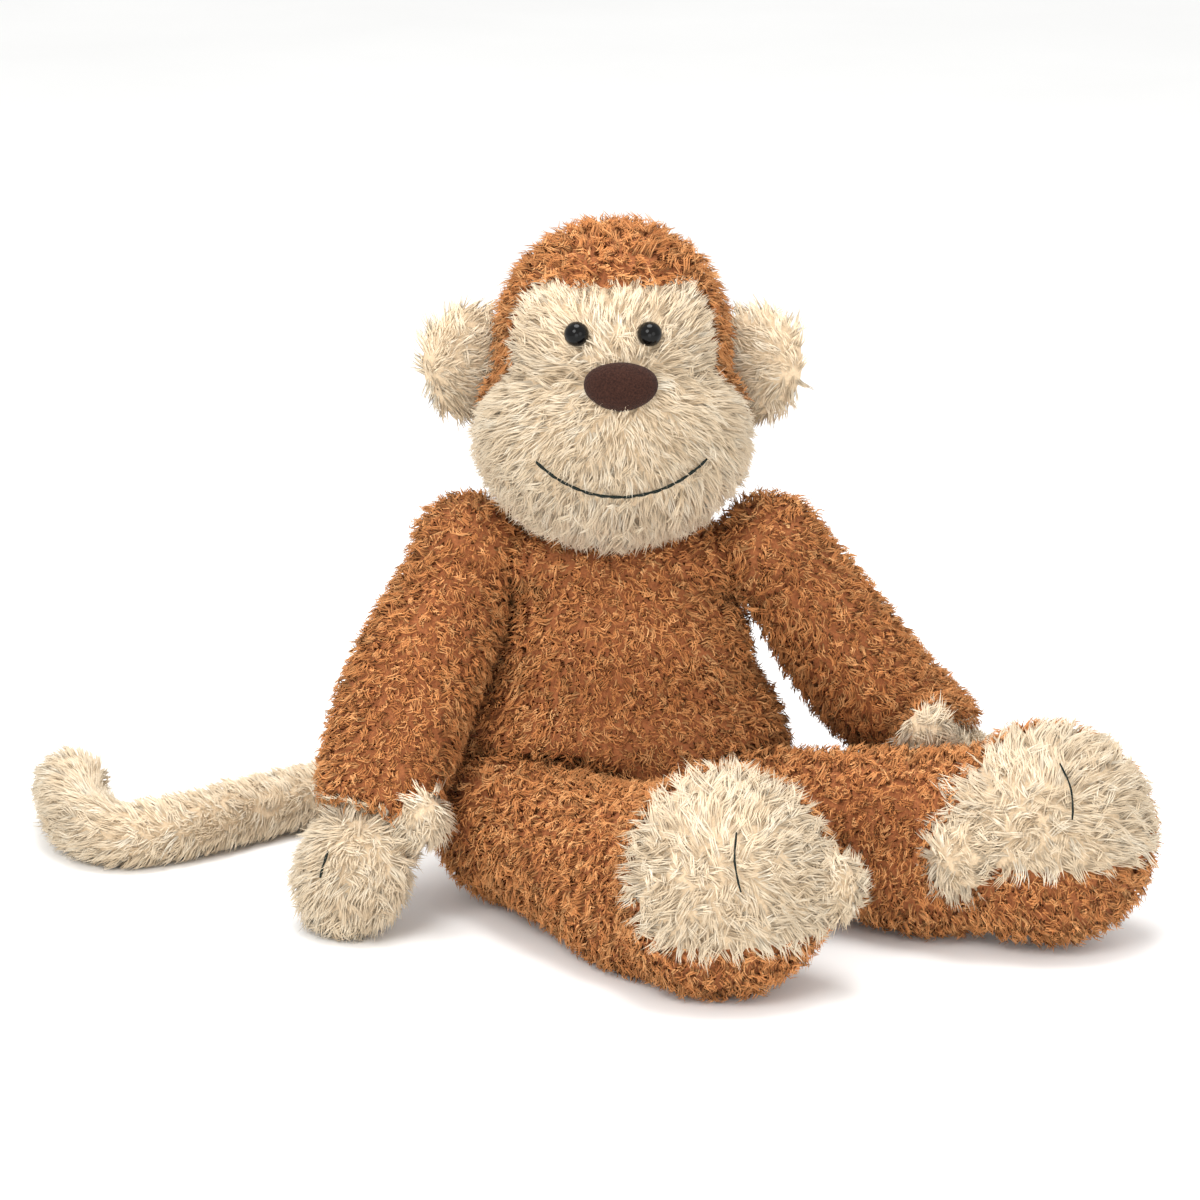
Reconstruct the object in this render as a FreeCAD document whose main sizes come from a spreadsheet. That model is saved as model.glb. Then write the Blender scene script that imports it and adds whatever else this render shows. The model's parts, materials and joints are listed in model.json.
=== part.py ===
import FreeCAD, Part
import math
import os

# A sitting stuffed monkey, in millimetres. +Z is up, it faces -Y, its right side is at -X, and the
# origin is the middle of the flat seat it rests on. Soft parts are plush shells around stuffing.

SIZES = {
    "pile_depth": 2.5,
    "slack": 0.4,
    "thread_width": 1.2,
    "belly_half_width": 67,
    "belly_half_depth": 54,
    "belly_half_height": 58,
    "belly_back": 9,
    "belly_level": 50,
    "chest_half_width": 52,
    "chest_half_depth": 41,
    "chest_half_height": 60,
    "chest_back": 6,
    "chest_level": 88,
    "side_seam_back": 10,
    "bean_bag_half_width": 40,
    "bean_bag_half_depth": 30,
    "bean_bag_half_height": 14,
    "bean_bag_above_seat": 6,
    "closing_seam_length": 34,
    "closing_seam_above_tail": 20,
    "neck_radius": 17,
    "neck_back": 4,
    "neck_level": 152,
    "head_side": -3,
    "jaw_half_width": 53,
    "jaw_half_depth": 50,
    "jaw_half_height": 43,
    "jaw_front": 12,
    "jaw_level": 189,
    "brow_half_width": 44,
    "brow_half_depth": 44,
    "brow_half_height": 45,
    "brow_front": 6,
    "brow_level": 226,
    "face_seam_front": 16,
    "hairline_level": 251,
    "eye_radius": 4.8,
    "eye_spacing": 28,
    "eye_front": 49,
    "eye_level": 236.5,
    "shank_radius": 1.8,
    "shank_length": 15,
    "washer_radius": 7,
    "washer_thickness": 2,
    "washer_inset": 11,
    "nose_half_width": 15,
    "nose_half_height": 9.5,
    "nose_half_depth": 7,
    "nose_front": 55,
    "nose_level": 217.5,
    "smile_radius": 48,
    "smile_half_angle": 41,
    "smile_level": 178,
    "ear_half_width": 20,
    "ear_half_height": 23.5,
    "ear_half_depth": 6,
    "ear_spread": 57,
    "ear_back": 6,
    "ear_level": 213.5,
    "shoulder_spread": 60,
    "shoulder_back": 2,
    "shoulder_level": 138,
    "arm_root_radius": 22,
    "arm_middle_width": 26,
    "arm_middle_thickness": 23,
    "cuff_half_width": 24,
    "cuff_half_thickness": 20,
    "cuff_distance": 112,
    "hand_distance": 136,
    "hand_half_width": 24,
    "hand_half_thickness": 16,
    "hand_half_length": 27,
    "thumb_radius": 11,
    "thumb_aside": 24,
    "thumb_distance": 110,
    "palm_stitch_length": 9,
    "right_arm_heading": -127,
    "right_arm_drop": 57,
    "left_arm_heading": 10,
    "left_arm_drop": 49,
    "hip_spread": 42,
    "hip_front": 18,
    "hip_level": 31,
    "leg_root_radius": 31,
    "leg_middle_radius": 29,
    "leg_middle_distance": 70,
    "ankle_radius": 32,
    "ankle_before_foot": 8,
    "foot_distance": 136,
    "foot_half_width": 40,
    "foot_half_height": 42,
    "foot_half_length": 29,
    "sole_front": 8,
    "right_foot_heading": -80,
    "left_foot_heading": -77,
    "right_foot_tilt": 25,
    "left_foot_tilt": 29,
    "toe_radius": 13,
    "toe_aside": 38,
    "toe_front": 6,
    "toe_below": 6,
    "sole_stitch_length": 28,
    "right_leg_heading": -53,
    "left_leg_heading": -22,
    "leg_rise": 5,
    "leg_swing": 80,
    "right_arm_swing": 80,
    "left_arm_swing": 65,
    "tail_radius": 12,
    "tail_root_radius": 15,
    "tail_tip_radius": 13.5,
    "tail_back": 70,
    "tail_level": 34,
}

doc = FreeCAD.newDocument("StuffedMonkey")
sheet = doc.addObject("Spreadsheet::Sheet", "Sizes")
for row, (alias, value) in enumerate(SIZES.items(), start=1):
    sheet.set(f"A{row}", alias)
    sheet.set(f"B{row}", str(value))
    sheet.setAlias(f"B{row}", alias)
doc.recompute()

Vec = FreeCAD.Vector
UP = Vec(0, 0, 1)
BIG = 600.0
PILE = "Sizes.pile_depth"
nodes = []


def size(alias):
    return float(sheet.get(alias))


def at(x, y, z):
    return FreeCAD.Placement(Vec(x, y, z), FreeCAD.Rotation())


def bind(obj, **sizes):
    """Each property follows an expression over the sheet's aliases, which start with Sizes."""
    for name, expression in sizes.items():
        obj.setExpression(name, expression)


def ellipsoid(name, half_x, half_y, half_z, placement):
    obj = doc.addObject("Part::Ellipsoid", name)
    bind(obj, Radius1=half_z, Radius2=half_x, Radius3=half_y)
    obj.Placement = placement
    return obj


def sphere(name, radius, placement):
    obj = doc.addObject("Part::Sphere", name)
    bind(obj, Radius=radius)
    obj.Placement = placement
    return obj


def cylinder(name, radius, length, placement, angle=360.0):
    obj = doc.addObject("Part::Cylinder", name)
    bind(obj, Radius=radius, Height=length)
    obj.Angle = angle
    obj.Placement = placement
    return obj


def box(name, length, width, height, placement):
    """A box around the placement's origin in X and Y, and above it in Z."""
    obj = doc.addObject("Part::Box", name)
    bind(obj, Length=length, Width=width, Height=height)
    doc.recompute()
    middle = at(-float(obj.Length) / 2, -float(obj.Width) / 2, 0)
    obj.Placement = placement.multiply(middle)
    return obj


def half_space(name, placement):
    """Everything on the placement's +Z side, as far as the toy reaches."""
    return box(name, f"{BIG}", f"{BIG}", f"{BIG}", placement)


def cut(name, base, tool):
    obj = doc.addObject("Part::Cut", name)
    obj.Base = base
    obj.Tool = tool
    return obj


def common(name, first, second):
    obj = doc.addObject("Part::Common", name)
    obj.Base = first
    obj.Tool = second
    return obj


def fuse(name, *pieces):
    obj = doc.addObject("Part::MultiFuse", name)
    obj.Shapes = list(pieces)
    return obj


def node(label, obj):
    obj.Label = label
    nodes.append(obj)
    return obj


class Limb:
    """A limb's frame: Z along the limb from its pivot, X level and to its left, Y its upper side."""

    def __init__(self, name, pivot, heading, drop):
        turn, pitch = math.radians(heading), math.radians(drop)
        ahead = Vec(math.cos(turn), math.sin(turn), 0)
        self.name = name
        self.side = 1 if name.startswith("right") else -1
        self.pivot = pivot
        self.along = ahead * math.cos(pitch) - UP * math.sin(pitch)
        self.across = UP.cross(ahead)
        self.frame = self.aimed(self.along)

    def aimed(self, direction):
        upper = direction.cross(self.across)
        return FreeCAD.Placement(self.pivot, FreeCAD.Rotation(self.across, upper, direction, "ZXY"))

    def raised(self, degrees):
        """The frame with the limb swung up by that many degrees about its hinge."""
        turn = FreeCAD.Rotation(self.across * -1, degrees)
        return self.aimed(turn.multVec(self.along))

    def spot(self, x, y, z):
        return self.frame.multiply(at(x, y, z))


def room_to_swing(name, limb, root, tube, lowest, highest):
    """The room that a limb's root ball and tube take over their swing, for cutting from the torso."""
    ball = sphere(name + "_ball", f"{root} + Sizes.slack", limb.frame)
    reach = "Sizes.foot_distance"
    low = cylinder(name + "_low", f"{tube} + Sizes.slack", reach, limb.raised(lowest))
    high = cylinder(name + "_high", f"{tube} + Sizes.slack", reach, limb.raised(highest))
    # A slab with its axis on the hinge, from the lowest direction round to the highest.
    hinge = limb.across * -1
    start = limb.raised(lowest).Rotation.multVec(UP)
    turned = FreeCAD.Rotation(start, hinge.cross(start), hinge, "ZXY")
    doc.recompute()
    half = float(low.Radius)
    corner = FreeCAD.Placement(limb.pivot - hinge * half, turned)
    slab = cylinder(name + "_slab", reach, f"2 * ({tube} + Sizes.slack)", corner, highest - lowest)
    return fuse(name, ball, low, high, slab)


shoulders = {
    side: Vec(sign * size("shoulder_spread"), size("shoulder_back"), size("shoulder_level"))
    for side, sign in (("right", -1), ("left", 1))
}
hips = {
    side: Vec(sign * size("hip_spread"), -size("hip_front"), size("hip_level"))
    for side, sign in (("right", -1), ("left", 1))
}
arms = [
    Limb(f"{side}_arm", shoulders[side], size(f"{side}_arm_heading"), size(f"{side}_arm_drop"))
    for side in ("right", "left")
]
legs = [
    Limb(f"{side}_leg", hips[side], size(f"{side}_leg_heading"), -size("leg_rise"))
    for side in ("right", "left")
]
neck_place = at(0, size("neck_back"), size("neck_level"))
tail_place = at(0, size("tail_back"), size("tail_level"))


# ---- torso: two plush panels, the stuffing, a bag of pellets in the seat, the closing seam ----

def torso_form(name, inset, rooms):
    belly = ellipsoid(
        name + "_belly",
        f"Sizes.belly_half_width - {inset}",
        f"Sizes.belly_half_depth - {inset}",
        f"Sizes.belly_half_height - {inset}",
        at(0, size("belly_back"), size("belly_level")),
    )
    chest = ellipsoid(
        name + "_chest",
        f"Sizes.chest_half_width - {inset}",
        f"Sizes.chest_half_depth - {inset}",
        f"Sizes.chest_half_height - {inset}",
        at(0, size("chest_back"), size("chest_level")),
    )
    blob = fuse(name + "_blob", belly, chest)
    floor = half_space(name + "_floor", at(0, 0, size("pile_depth") if inset == PILE else 0))
    seated = common(name + "_seated", blob, floor)
    return cut(name, seated, rooms)


def torso_rooms(name, wall):
    """The hollows in the torso for the neck, tail, arms and legs, each wall deeper than the limb."""
    neck = sphere(name + "_neck", f"Sizes.neck_radius + Sizes.slack + {wall}", neck_place)
    tail = sphere(name + "_tail", f"Sizes.tail_root_radius + Sizes.slack + {wall}", tail_place)
    rooms = [neck, tail]
    for limb in arms:
        root = f"Sizes.arm_root_radius + {wall}"
        tube = f"Sizes.arm_middle_width + {wall}"
        rooms.append(room_to_swing(f"{name}_{limb.name}", limb, root, tube, 0, size(f"{limb.name}_swing")))
    for limb in legs:
        root = f"Sizes.leg_root_radius + {wall}"
        tube = f"Sizes.leg_root_radius - 1 + {wall}"
        rooms.append(room_to_swing(f"{name}_{limb.name}", limb, root, tube, -size("leg_swing"), 0))
    return fuse(name, *rooms)


def build_torso():
    outer = torso_form("torso_outer", "0", torso_rooms("outer_rooms", "0"))
    inner = torso_form("torso_inner", PILE, torso_rooms("inner_rooms", PILE))
    shell = cut("torso_shell", outer, inner)
    behind = FreeCAD.Rotation(Vec(1, 0, 0), -90)
    seam = FreeCAD.Placement(Vec(0, size("side_seam_back"), 0), behind)
    back_side = half_space("torso_back_side", seam)
    node("torso_front_panel", cut("torso_front", shell, back_side))
    node("torso_back_panel", common("torso_back", shell, back_side))
    bag = ellipsoid(
        "seat_pellets",
        "Sizes.bean_bag_half_width",
        "Sizes.bean_bag_half_depth",
        "Sizes.bean_bag_half_height",
        at(
            0,
            size("side_seam_back") + size("bean_bag_half_depth") / 2,
            size("bean_bag_half_height") + size("bean_bag_above_seat"),
        ),
    )
    node("seat_bean_bag", common("seat_bag", bag, inner))
    node("torso_stuffing", cut("torso_fill", inner, bag))
    # The closing seam runs down the middle of the back, between the neck and the tail.
    around = ellipsoid(
        "seam_around",
        "Sizes.belly_half_width + Sizes.thread_width",
        "Sizes.belly_half_depth + Sizes.thread_width",
        "Sizes.belly_half_height + Sizes.thread_width",
        at(0, size("belly_back"), size("belly_level")),
    )
    behind_back = at(
        0,
        size("belly_back") + size("belly_half_depth"),
        size("tail_level") + size("closing_seam_above_tail"),
    )
    strip = box(
        "seam_strip",
        "Sizes.thread_width",
        "Sizes.belly_half_depth",
        "Sizes.closing_seam_length",
        behind_back,
    )
    band = common("seam_band", around, strip)
    node("back_closing_seam", cut("seam_thread", band, outer))


def build_neck():
    ball = sphere("neck_ball", "Sizes.neck_radius", neck_place)
    node("neck_stuffing", ball)


# ---- head: crown and face panels, stuffing, bead eyes held by washers, nose, smile, two ears ----

def head_form(name, inset):
    jaw = ellipsoid(
        name + "_jaw",
        f"Sizes.jaw_half_width - {inset}",
        f"Sizes.jaw_half_depth - {inset}",
        f"Sizes.jaw_half_height - {inset}",
        at(size("head_side"), -size("jaw_front"), size("jaw_level")),
    )
    brow = ellipsoid(
        name + "_brow",
        f"Sizes.brow_half_width - {inset}",
        f"Sizes.brow_half_depth - {inset}",
        f"Sizes.brow_half_height - {inset}",
        at(size("head_side"), -size("brow_front"), size("brow_level")),
    )
    return fuse(name, jaw, brow)


def build_head():
    outer_room = sphere("head_socket", "Sizes.neck_radius + Sizes.slack", neck_place)
    inner_room = sphere("head_socket_wall", f"Sizes.neck_radius + Sizes.slack + {PILE}", neck_place)
    whole = head_form("head_whole", "0")
    outer = cut("head_outer", whole, outer_room)
    inner = cut("head_inner", head_form("head_filled", PILE), inner_room)
    shell = cut("head_shell", outer, inner)
    eyes = build_eyes()
    holes = fuse("eye_holes", *[solid for eye in eyes for solid in eye])
    # The cream face is what lies in front of the side seams and under the hairline.
    lean = FreeCAD.Rotation(Vec(1, 0, 0), 90)
    front = half_space("face_front", FreeCAD.Placement(Vec(0, -size("face_seam_front"), 0), lean))
    above = half_space("above_hairline", at(0, 0, size("hairline_level")))
    mask = cut("face_mask", front, above)
    face = common("face_cloth", shell, mask)
    node("head_crown", cut("crown_cloth", shell, mask))
    node("face_panel", cut("face_with_eye_holes", face, holes))
    node("head_stuffing", cut("head_fill", inner, holes))
    build_nose(whole)
    build_smile()
    for side, sign in (("right", -1), ("left", 1)):
        build_ear(side, sign, whole)


def build_eyes():
    eyes = []
    back = FreeCAD.Rotation(Vec(1, 0, 0), -90)
    for side, sign in (("right", -1), ("left", 1)):
        aside = size("head_side") + sign * size("eye_spacing") / 2
        middle = Vec(aside, -size("eye_front"), size("eye_level"))
        bead = sphere(f"{side}_bead", "Sizes.eye_radius", FreeCAD.Placement(middle, back))
        shank = cylinder(
            f"{side}_shank", "Sizes.shank_radius", "Sizes.shank_length", FreeCAD.Placement(middle, back)
        )
        eye = node(f"{side}_eye", fuse(f"{side}_eye_body", bead, shank))
        behind = FreeCAD.Placement(middle + Vec(0, size("washer_inset"), 0), back)
        disc = cylinder(f"{side}_disc", "Sizes.washer_radius", "Sizes.washer_thickness", behind)
        node(f"{side}_eye_washer", cut(f"{side}_washer_ring", disc, eye))
        eyes.append((eye, disc))
    return eyes


def build_nose(head):
    pad = ellipsoid(
        "nose_pad",
        "Sizes.nose_half_width",
        "Sizes.nose_half_depth",
        "Sizes.nose_half_height",
        at(0, -size("nose_front"), size("nose_level")),
    )
    node("nose", cut("nose_on_face", pad, head))


def build_smile():
    """A thread on the face along an arc that hangs from ear side to ear side."""
    outside, on_face = (
        ellipsoid(
            f"smile_{name}",
            f"Sizes.jaw_half_width + {grow}",
            f"Sizes.jaw_half_depth + {grow}",
            f"Sizes.jaw_half_height + {grow}",
            at(size("head_side"), -size("jaw_front"), size("jaw_level")),
        )
        for name, grow in (("outside", "Sizes.thread_width"), ("on_face", "0"))
    )
    half = size("smile_half_angle")
    middle = size("smile_level") + size("smile_radius")
    # The arc's plane faces forward; its cylinders' sector starts left of straight down.
    start = Vec(-math.sin(math.radians(half)), 0, -math.cos(math.radians(half)))
    turned = FreeCAD.Rotation(start, Vec(), Vec(0, -1, 0), "ZXY")
    place = FreeCAD.Placement(Vec(0, 0, middle), turned)
    reach = "Sizes.jaw_front + Sizes.jaw_half_depth + Sizes.jaw_half_width"
    wide = cylinder("smile_wide", "Sizes.smile_radius + Sizes.thread_width", reach, place, 2 * half)
    narrow = cylinder("smile_narrow", "Sizes.smile_radius", reach, place)
    arc = cut("smile_arc", wide, narrow)
    layer = cut("smile_layer", outside, on_face)
    node("mouth_stitching", common("smile", arc, layer))


def build_ear(side, sign, head):
    """A flat ellipsoid with its poles in front and behind, in two halves that meet in a level seam."""
    middle = Vec(size("head_side") + sign * size("ear_spread"), size("ear_back"), size("ear_level"))
    facing = FreeCAD.Rotation(UP, Vec(), Vec(0, -1, 0), "ZXY")
    disc = ellipsoid(
        f"{side}_ear_disc",
        "Sizes.ear_half_height",
        "Sizes.ear_half_width",
        "Sizes.ear_half_depth",
        FreeCAD.Placement(middle, facing),
    )
    sewn = cut(f"{side}_ear_sewn", disc, head)
    front = half_space(f"{side}_ear_ahead", FreeCAD.Placement(middle, facing))
    node(f"{side}_ear_front", common(f"{side}_ear_front_half", sewn, front))
    node(f"{side}_ear_back", cut(f"{side}_ear_back_half", sewn, front))


# ---- limbs: a plush sleeve with a ball at its root, its stuffing, and a cream hand or foot ----

def oval(name, half_x, half_y, placement):
    """An ellipse for a loft; its major radius lies along X."""
    obj = doc.addObject("Part::Ellipse", name)
    bind(obj, MajorRadius=half_x, MinorRadius=half_y)
    obj.Placement = placement
    return obj


def limb_tube(name, limb, inset, root_radius, rings):
    """A ball at the pivot and a loft through rings of (half width, half thickness, distance)."""
    ball = sphere(name + "_ball", f"{root_radius} - {inset}", limb.frame)
    sections = [
        oval(f"{name}_ring_{i}", f"{wide} - {inset}", f"{thick} - {inset} - 0.01", limb.spot(0, 0, along))
        for i, (wide, thick, along) in enumerate(rings)
    ]
    loft = doc.addObject("Part::Loft", name + "_loft")
    loft.Sections = sections
    loft.Solid = True
    return fuse(name, ball, loft)


def build_arm(limb):
    name, side = limb.name, limb.side
    rings = [
        ("0.9 * Sizes.arm_root_radius", "0.9 * Sizes.arm_root_radius", 8),
        ("Sizes.arm_middle_width", "Sizes.arm_middle_thickness", size("cuff_distance") / 2),
        ("Sizes.cuff_half_width", "Sizes.cuff_half_thickness", size("cuff_distance")),
    ]
    place = limb.spot(0, 0, size("hand_distance"))
    forms = []
    for which, inset in (("outer", "0"), ("inner", PILE)):
        tube = limb_tube(f"{name}_{which}_tube", limb, inset, "Sizes.arm_root_radius", rings)
        mitt = ellipsoid(
            f"{name}_{which}_mitt",
            f"Sizes.hand_half_width - {inset}",
            f"Sizes.hand_half_thickness - {inset}",
            f"Sizes.hand_half_length - {inset}",
            place,
        )
        beyond = half_space(f"{name}_{which}_beyond", limb.spot(0, 0, size("cuff_distance")))
        forms.append((tube, common(f"{name}_{which}_hand", mitt, beyond)))
    (tube, hand), (core, palm) = forms
    node(f"{name}_sleeve", cut(f"{name}_sleeve_cloth", tube, core))
    node(f"{name}_stuffing", fuse(f"{name}_fill", core, palm))
    thumb = sphere(
        f"{name}_thumb_ball",
        "Sizes.thumb_radius",
        limb.spot(side * size("thumb_aside"), 0, size("thumb_distance")),
    )
    node(f"{side_of(limb)}_hand", cut(f"{name}_mitt_cloth", hand, palm))
    node(f"{side_of(limb)}_thumb", cut(f"{name}_thumb_sewn", thumb, fuse(f"{name}_all", tube, hand)))
    stitch = box(
        f"{name}_stitch_bar",
        "Sizes.thread_width",
        "Sizes.hand_half_thickness + 2",
        "Sizes.palm_stitch_length",
        limb.spot(0, size("hand_half_thickness") / 2 + 1, size("hand_distance")),
    )
    skin = ellipsoid(
        f"{name}_stitch_skin",
        "Sizes.hand_half_width + Sizes.thread_width",
        "Sizes.hand_half_thickness + Sizes.thread_width",
        "Sizes.hand_half_length + Sizes.thread_width",
        place,
    )
    layer = cut(f"{name}_stitch_layer", common(f"{name}_stitch_in_skin", stitch, skin), hand)
    node(f"{side_of(limb)}_palm_stitch", layer)


def side_of(limb):
    return limb.name.split("_")[0]


def build_leg(limb):
    name, side, owner = limb.name, limb.side, side_of(limb)
    rings = [
        ("0.9 * Sizes.leg_root_radius", "0.9 * Sizes.leg_root_radius", 10),
        ("Sizes.leg_middle_radius", "Sizes.leg_middle_radius", size("leg_middle_distance")),
        ("Sizes.ankle_radius", "Sizes.ankle_radius", size("foot_distance") - size("ankle_before_foot")),
    ]
    middle = limb.spot(0, 0, size("foot_distance")).Base
    foot_aim = Limb(name, middle, size(f"{owner}_foot_heading"), -size(f"{owner}_foot_tilt"))
    forms = []
    for which, inset in (("outer", "0"), ("inner", PILE)):
        tube = limb_tube(f"{name}_{which}_tube", limb, inset, "Sizes.leg_root_radius", rings)
        foot = ellipsoid(
            f"{name}_{which}_foot",
            f"Sizes.foot_half_width - {inset}",
            f"Sizes.foot_half_height - {inset}",
            f"Sizes.foot_half_length - {inset}",
            foot_aim.frame,
        )
        forms.append(fuse(f"{name}_{which}", tube, foot))
    outer, inner = forms
    shell = cut(f"{name}_shell", outer, inner)
    sole_side = half_space(f"{name}_sole_side", foot_aim.spot(0, 0, size("sole_front")))
    upper = cut(f"{name}_sleeve_cloth", shell, sole_side)
    node(f"{name}_sleeve", upper)
    node(f"{name}_stuffing", inner)
    node(f"{owner}_foot_sole", common(f"{name}_sole_cloth", shell, sole_side))
    toe_spot = foot_aim.spot(side * size("toe_aside"), -size("toe_below"), size("toe_front"))
    toe = sphere(f"{name}_toe_ball", "Sizes.toe_radius", toe_spot)
    node(f"{owner}_big_toe", cut(f"{name}_toe_sewn", toe, outer))
    thread_foot = ellipsoid(
        f"{name}_stitch_skin",
        "Sizes.foot_half_width + Sizes.thread_width",
        "Sizes.foot_half_height + Sizes.thread_width",
        "Sizes.foot_half_length + Sizes.thread_width",
        foot_aim.frame,
    )
    bar = box(
        f"{name}_stitch_bar",
        "Sizes.thread_width",
        "Sizes.sole_stitch_length",
        "2 * Sizes.foot_half_length",
        foot_aim.frame,
    )
    layer = cut(f"{name}_stitch_layer", common(f"{name}_stitch_in_skin", bar, thread_foot), outer)
    node(f"{owner}_sole_stitch", layer)


# ---- tail: one long plush tube that lies on the floor, with straight runs and wide bends ----

def rounded_route(points, share=0.45):
    """Edges along the points, each inner corner an arc as wide as its runs allow."""
    edges, here = [], points[0]
    for before, corner, after in zip(points, points[1:], points[2:]):
        to_before, to_after = before - corner, after - corner
        shorter = min(to_before.Length, to_after.Length) * share
        start = corner + to_before.normalize() * shorter
        end = corner + to_after.normalize() * shorter
        half_turn = (math.pi - to_before.getAngle(to_after)) / 2
        inward = (to_before + to_after).normalize()
        radius = shorter / math.tan(half_turn)
        middle = corner + inward * (radius / math.cos(half_turn) - radius)
        edges.append(Part.LineSegment(here, start).toShape())
        edges.append(Part.Arc(start, middle, end).toShape())
        here = end
    edges.append(Part.LineSegment(here, points[-1]).toShape())
    return Part.Wire(edges)


def build_tail():
    root, radius = tail_place.Base, size("tail_radius")
    points = [
        root,
        root + Vec(-32, 20, -16),
        Vec(-78, root.y + 24, radius),
        Vec(-136, root.y + 4, radius),
        Vec(-178, 34, radius),
        Vec(-206, 18, radius),
        Vec(-226, 40, radius + 2),
        Vec(-231, 76, radius + 5),
    ]
    route = doc.addObject("Part::Feature", "tail_route")
    route.Shape = rounded_route(points)
    first = (points[1] - points[0]).normalize()
    forms = []
    for which, inset in (("outer", "0"), ("inner", PILE)):
        ring = doc.addObject("Part::Circle", f"tail_{which}_ring")
        bind(ring, Radius=f"Sizes.tail_radius - {inset}")
        ring.Placement = FreeCAD.Placement(root, FreeCAD.Rotation(UP, first))
        tube = doc.addObject("Part::Sweep", f"tail_{which}_tube")
        tube.Sections = [ring]
        tube.Spine = (route, [f"Edge{i + 1}" for i in range(len(route.Shape.Edges))])
        tube.Solid = True
        tube.Frenet = False
        ball = sphere(f"tail_{which}_root", f"Sizes.tail_root_radius - {inset}", tail_place)
        tip = sphere(f"tail_{which}_tip", f"Sizes.tail_tip_radius - {inset}", at(*points[-1]))
        forms.append(fuse(f"tail_{which}", tube, ball, tip))
    outer, inner = forms
    node("tail_sleeve", cut("tail_cloth", outer, inner))
    node("tail_stuffing", inner)


build_torso()
build_neck()
build_head()
for arm in arms:
    build_arm(arm)
for leg in legs:
    build_leg(leg)
build_tail()
doc.recompute()

failed = [obj.Name for obj in doc.Objects if "Invalid" in obj.State or "Error" in obj.State]
failed += [obj.Label for obj in nodes if obj.Shape.isNull() or not obj.Shape.isValid()]
if failed:
    raise SystemExit(f"failed objects: {failed}")
os.makedirs("parts", exist_ok=True)
for obj in nodes:
    obj.Shape.exportStep(f"parts/{obj.Label}.step")
    print(f"{obj.Label:22s} solids {len(obj.Shape.Solids)} volume {obj.Shape.Volume / 1000:8.2f} cm3")
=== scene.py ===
import json
import math

import bmesh
import bpy
import numpy as np
from mathutils import Matrix, Vector
from mathutils.bvhtree import BVHTree
from mathutils.kdtree import KDTree


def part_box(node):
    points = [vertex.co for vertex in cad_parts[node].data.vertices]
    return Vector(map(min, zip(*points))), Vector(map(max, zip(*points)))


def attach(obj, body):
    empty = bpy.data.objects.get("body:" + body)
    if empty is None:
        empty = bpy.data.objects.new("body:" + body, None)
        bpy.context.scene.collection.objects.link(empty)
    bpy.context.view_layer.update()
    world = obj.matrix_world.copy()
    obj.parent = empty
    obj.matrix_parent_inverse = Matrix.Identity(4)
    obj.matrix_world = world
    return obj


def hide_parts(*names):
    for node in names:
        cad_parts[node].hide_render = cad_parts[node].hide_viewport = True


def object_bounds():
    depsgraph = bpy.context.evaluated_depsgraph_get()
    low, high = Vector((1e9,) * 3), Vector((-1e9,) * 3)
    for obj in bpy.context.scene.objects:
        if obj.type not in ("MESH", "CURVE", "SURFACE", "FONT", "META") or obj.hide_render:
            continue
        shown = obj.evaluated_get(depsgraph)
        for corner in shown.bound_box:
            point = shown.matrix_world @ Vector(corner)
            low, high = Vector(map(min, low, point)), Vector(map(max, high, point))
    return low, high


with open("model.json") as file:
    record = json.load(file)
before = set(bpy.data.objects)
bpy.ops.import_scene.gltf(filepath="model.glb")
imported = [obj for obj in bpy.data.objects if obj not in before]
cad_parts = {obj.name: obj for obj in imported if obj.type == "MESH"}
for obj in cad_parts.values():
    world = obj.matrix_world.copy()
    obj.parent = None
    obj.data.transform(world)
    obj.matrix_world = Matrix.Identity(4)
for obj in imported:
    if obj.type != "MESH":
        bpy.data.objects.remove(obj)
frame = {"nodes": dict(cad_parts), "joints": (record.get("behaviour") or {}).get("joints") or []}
cad_bounds = [list(corner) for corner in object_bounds()]

# A sitting stuffed monkey. Each soft body is a smooth skin made from its CAD solids, and its pile is
# thousands of small tapered tufts that grow from the skin. Everything is in metres.

MM = 0.001
FLOOR = 0.0
HEEL_HEIGHTS = {"right": 25 * MM, "left": 37 * MM}
SIDES = (("right", 1), ("left", -1))
rng = np.random.default_rng(7)


# ---- materials ----

def new_material(name):
    """An empty node material with its Principled shader."""
    mat = bpy.data.materials.new(name)
    mat.use_nodes = True
    shader = mat.node_tree.nodes["Principled BSDF"]
    return mat, mat.node_tree, shader


def ramp_node(tree, stops):
    """A colour ramp through (position, colour) stops."""
    node = tree.nodes.new("ShaderNodeValToRGB")
    elements = node.color_ramp.elements
    while len(elements) < len(stops):
        elements.new(0.5)
    for element, (position, colour) in zip(elements, stops):
        element.position = position
        element.color = (*colour, 1)
    return node


def mix_colours(tree, mode, first, second, factor=1.0):
    """The output of a colour mix; each input is a socket or a plain colour."""
    node = tree.nodes.new("ShaderNodeMix")
    node.data_type = "RGBA"
    node.blend_type = mode
    node.inputs[0].default_value = factor
    for socket, value in ((node.inputs[6], first), (node.inputs[7], second)):
        if isinstance(value, bpy.types.NodeSocket):
            tree.links.new(value, socket)
        else:
            socket.default_value = (*value, 1)
    return node.outputs[2]


def grey(value):
    return (value, value, value)


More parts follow.
